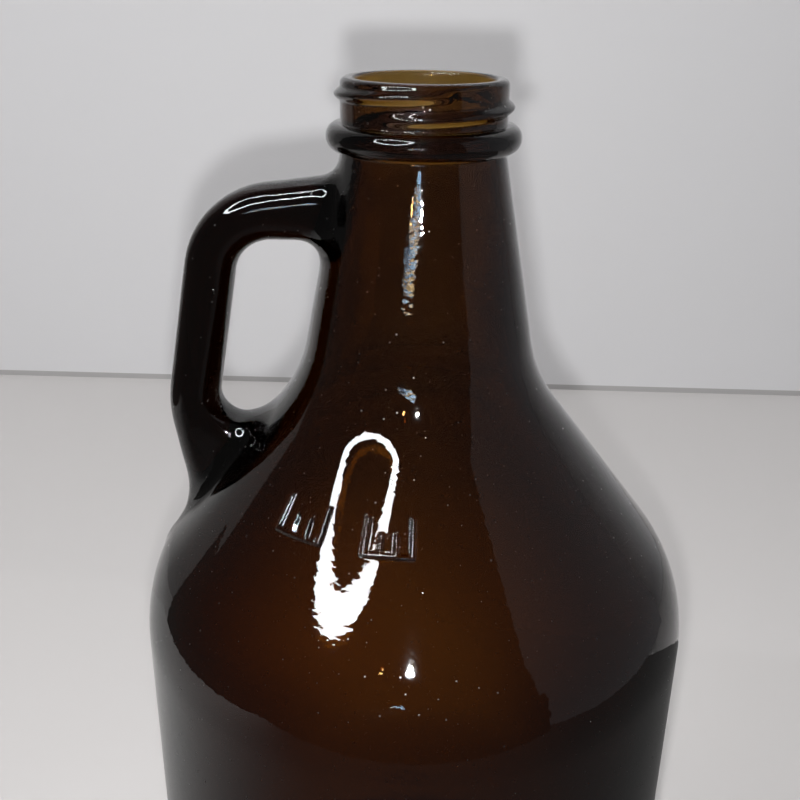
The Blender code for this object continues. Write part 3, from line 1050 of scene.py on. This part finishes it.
def seen_from(azimuth, elevation, distance, origin):
    """The point at that direction and distance from origin."""
    turn, rise = math.radians(azimuth), math.radians(elevation)
    return (
        origin[0] + distance * math.cos(rise) * math.cos(turn),
        origin[1] + distance * math.cos(rise) * math.sin(turn),
        origin[2] + distance * math.sin(rise),
    )


def one_sided(material):
    """Lets what is behind the face through, so that a backdrop never hides the object."""
    back = add_node(material, "ShaderNodeNewGeometry").outputs["Backfacing"]
    clear = add_node(material, "ShaderNodeBsdfTransparent")
    shader = material.node_tree.nodes["Principled BSDF"]
    mix = add_node(material, "ShaderNodeMixShader", {0: back, 1: shader.outputs[0]})
    material.node_tree.links.new(clear.outputs[0], mix.inputs[2])
    set_output(material, mix.outputs[0])
    return material


def graded_glow(name, across, first, last):
    """A glow that goes smoothly from one (metres across, strength) to another."""
    made, _ = new_material(name)
    place = object_place(made)
    distance = add_node(
        made, "ShaderNodeVectorMath", {0: place, 1: (*across, 0.0)}, operation="DOT_PRODUCT"
    )
    strength = add_node(made, "ShaderNodeMapRange", {
        "Value": distance.outputs["Value"],
        "From Min": first[0], "From Max": last[0], "To Min": first[1], "To Max": last[1],
    }, interpolation_type="SMOOTHSTEP")
    glow = add_node(made, "ShaderNodeEmission", {
        "Color": (1.0, 0.98, 0.97, 1.0), "Strength": strength.outputs[0],
    })
    set_output(made, glow.outputs[0])
    return made


def speckled_glow(strength):
    """A glow broken up into short bars, as the light from behind a grille."""
    made, _ = new_material("speckled_glow")
    place = object_place(made)
    flat = add_node(
        made, "ShaderNodeVectorMath", {0: place, 1: (0.2, 0.2, 3.0)}, operation="MULTIPLY"
    )
    bars = add_node(made, "ShaderNodeMapRange", {
        "Value": noise(made, flat.outputs[0], 24.0, 4.0, 0.75),
        "From Min": 0.44, "From Max": 0.56, "To Min": 0.05, "To Max": 1.0,
    })
    warm = add_node(made, "ShaderNodeMapRange", {
        "Value": noise(made, flat.outputs[0], 16.0, 2.0, 0.6), "From Min": 0.45, "From Max": 0.55,
    })
    colour = add_node(made, "ShaderNodeMix", {
        0: warm.outputs[0], 6: (0.42, 0.7, 1.0, 1.0), 7: (1.0, 0.72, 0.36, 1.0),
    }, data_type="RGBA")
    glow = add_node(made, "ShaderNodeEmission", {
        "Color": colour.outputs[2],
        "Strength": maths(made, "MULTIPLY", bars.outputs[0], strength),
    })
    set_output(made, glow.outputs[0])
    return made


def soft_glow(centre_m, radius_m, strength):
    """A glow that fades out with the distance from its centre."""
    made, _ = new_material("soft_glow")
    place = object_place(made)
    away = add_node(
        made, "ShaderNodeVectorMath", {0: place, 1: centre_m}, operation="DISTANCE"
    ).outputs["Value"]
    share = maths(made, "SUBTRACT", 1.0, maths(made, "DIVIDE", away, radius_m), clamp=True)
    glow = add_node(made, "ShaderNodeEmission", {
        "Color": (1.0, 0.97, 0.92, 1.0), "Strength": maths(made, "MULTIPLY", share, strength),
    })
    clear = add_node(made, "ShaderNodeBsdfTransparent")
    mix = add_node(made, "ShaderNodeMixShader", {
        0: share, 1: clear.outputs[0], 2: glow.outputs[0],
    })
    set_output(made, mix.outputs[0])
    return made


def build_room():
    """A pale floor and wall, with a thin grey strip of painted shade where they meet, and the glowing
    cards around the jug that
    its glass mirrors or passes on: dim cards in front and on the left as painted shade of the dark
    room, a grey panel, painted light and shade of the wall and the table, and a painted pool of light
    on the floor behind the jug."""
    floor = plain("pale_floor", (0.49, 0.475, 0.47), 0.5)
    quad("floor", [(-3, -3, 0), (3, -3, 0), (3, 3, 0), (-3, 3, 0)], floor)
    wall = one_sided(plain("pale_wall", (0.76, 0.757, 0.772), 0.8))
    wall_y, tilt, wall_left, wall_right = 0.479, 0.013, -1.5, 3.0
    wall_ends = [(wall_left, wall_y - wall_left * tilt), (wall_right, wall_y - wall_right * tilt)]
    quad("backdrop", upright_corners(*wall_ends, 2.5), wall)
    # A thin grey strip just in front of the wall's foot: painted shade in the joint between the wall
    # and the floor.
    shade_strip_ends = [(x, y - 0.001) for x, y in wall_ends]
    painted_gap_shade = one_sided(plain("gap_shade", (0.46, 0.45, 0.45), 0.9))
    quad("painted_gap_shade", upright_corners(*shade_strip_ends, 0.004), painted_gap_shade)

    left, right, front, back = -0.52, 0.62, -0.40, 0.20
    # Painted shade: faintly glowing cards, seen only in the glass, that stand in for the dark room
    # beyond the table.
    dim = emitter("shade_card_glow", (1.0, 0.97, 0.94), 0.07)
    card("front_shade_card", upright_corners((left, front), (0.47, front), 0.25), dim)
    card("left_shade_card", upright_corners((left, front), (left, back), 0.25), dim)
    grey = emitter("panel_glow", (0.97, 0.96, 1.0), 0.24)
    card("grey_panel", upright_corners((right, -0.56), (right, 0.28), 1.0), grey)
    # Painted light and shade of the wall as the glass mirrors it: a glow brightest near the jug,
    # dimming to the left.
    lit = graded_glow("wall_cover_glow", (1.0, 0.0), (-0.75, 0.26), (-0.34, 0.52))
    card("wall_cover", upright_corners((-1.5, 0.494), (-0.34, 0.479), 1.2), lit)
    # Painted light and shade of the table as the glass mirrors it: bright to the left and back, dim
    # towards the front right.
    card("floor_cover", [
        (left, -0.60, 0.001), (right, -0.60, 0.001), (right, 0.10, 0.001), (left, 0.26, 0.001)
    ], graded_glow("floor_cover_glow", (1.0, -1.0), (-0.36, 0.58), (0.08, 0.11)))
    # A painted pool of light on the floor behind the jug, seen only through the glass.
    glow_card = card("floor_glow_card", [
        (-0.45, -0.15, 0.002), (0.35, -0.15, 0.002), (0.35, 0.475, 0.002), (-0.45, 0.475, 0.002)
    ], soft_glow((-0.05, 0.16, 0.0), 0.30, 1.6))
    glow_card.visible_glossy = False  # the jug's walls pass it on, but don't mirror it


def build_world():
    """A pale surround for the camera, and a dim room in the reflections."""
    world = bpy.data.worlds.new("room")
    bpy.context.scene.world = world
    world.use_nodes = True
    nodes, links = world.node_tree.nodes, world.node_tree.links
    dim = nodes["Background"]
    dim.inputs["Color"].default_value = (0.065, 0.063, 0.063, 1.0)
    pale = nodes.new("ShaderNodeBackground")
    pale.inputs["Color"].default_value = (0.58, 0.58, 0.59, 1.0)
    path = nodes.new("ShaderNodeLightPath")
    mix = nodes.new("ShaderNodeMixShader")
    links.new(path.outputs["Is Camera Ray"], mix.inputs[0])
    links.new(dim.outputs[0], mix.inputs[1])
    links.new(pale.outputs[0], mix.inputs[2])
    links.new(mix.outputs[0], nodes["World Output"].inputs["Surface"])


def add_ring_lamp(rim):
    """The ring light that makes the loop on the shoulder."""
    centre = (-0.318, -0.338, rim + 0.462)
    target = (0.028, 0.069, rim + 0.071)
    glow = emitter("ring_lamp_glow", (0.93, 0.97, 1.0), 26.0)
    lamp_face(centre, target, ring_shape(0.240, 0.194), glow, "ring_lamp")


def add_strip_lamp(rim):
    """A slanted strip, wider at its foot, that makes the streak down the neck."""
    neck = (0.0, -0.020, rim - 0.045)
    high = Vector(seen_from(-92.5, 12.0, 1.0, neck))
    low = Vector(seen_from(-107.0, 2.5, 1.0, neck))
    half_width_high, half_width_low = 0.0384, 0.0832
    along = (high - low).normalized()
    across = along.cross((Vector(neck) - (high + low) / 2).normalized())
    corners = [
        low - across * half_width_low,
        high - across * half_width_high,
        high + across * half_width_high,
        low + across * half_width_low,
    ]
    card("strip_lamp", [tuple(corner) for corner in corners], speckled_glow(15.0))


def add_warm_lamp(rim):
    """A small orange lamp, left of the white one."""
    x, y, z, half = -0.044, -0.212, rim + 0.009, 0.003
    corners = [(x + a * half, y, z + b * half) for a, b in ((-1, -1), (1, -1), (1, 1), (-1, 1))]
    card("warm_lamp", corners, emitter("warm_lamp_glow", (1.0, 0.55, 0.18), 45.0))


def build_lamps():
    rim = HEIGHT * MM
    add_ring_lamp(rim)
    add_strip_lamp(rim)
    add_warm_lamp(rim)
    white = area_light("small_lamp", (-0.002, -0.205, rim + 0.005), (0.0, 0.0, rim - 0.06), 0.007, 1.2)
    white.visible_glossy = True
    area_light("soft_top", (0.1, 0.15, 1.4), (0.0, 0.2, 0.0), 1.0, 12.0)
    area_light("soft_left", (-1.1, -0.3, 1.1), (0.0, 0.25, 0.1), 0.9, 8.8)


CAMERA_PLACE_M = (0.0, -0.2089, 0.2844)
CAMERA_DEGREES = (23.35, -1.14, 0.80)  # down, to the right and tilted
CAMERA_LENS_MM = 44.01  # on a 36 mm wide picture


def build_camera():
    """Just above the rim and in front of it, looking down at the shoulder."""
    pitch, yaw, roll = (math.radians(value) for value in CAMERA_DEGREES)
    ahead = Vector((
        math.sin(yaw) * math.cos(pitch), math.cos(yaw) * math.cos(pitch), -math.sin(pitch)
    ))
    level = Vector((math.cos(yaw), -math.sin(yaw), 0.0))
    upright = level.cross(ahead)
    right = level * math.cos(roll) + upright * math.sin(roll)
    up = upright * math.cos(roll) - level * math.sin(roll)
    data = bpy.data.cameras.new("camera")
    data.lens = CAMERA_LENS_MM
    data.sensor_width = 36.0
    data.clip_start = 0.01
    made = bpy.data.objects.new("camera", data)
    bpy.context.scene.collection.objects.link(made)
    axes = Matrix((right, up, -ahead)).transposed()
    made.matrix_world = Matrix.Translation(CAMERA_PLACE_M) @ axes.to_4x4()
    bpy.context.scene.camera = made


def build_growler():
    jug = new_object("growler_glass", build_jug_mesh(), amber_glass())
    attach(jug, "jug")
    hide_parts("glass_jug")


def main():
    scene = bpy.context.scene
    scene.view_settings.view_transform = "Standard"
    build_camera()
    build_room()
    build_world()
    build_lamps()
    build_growler()
    build_cap()
    build_liner()


main()
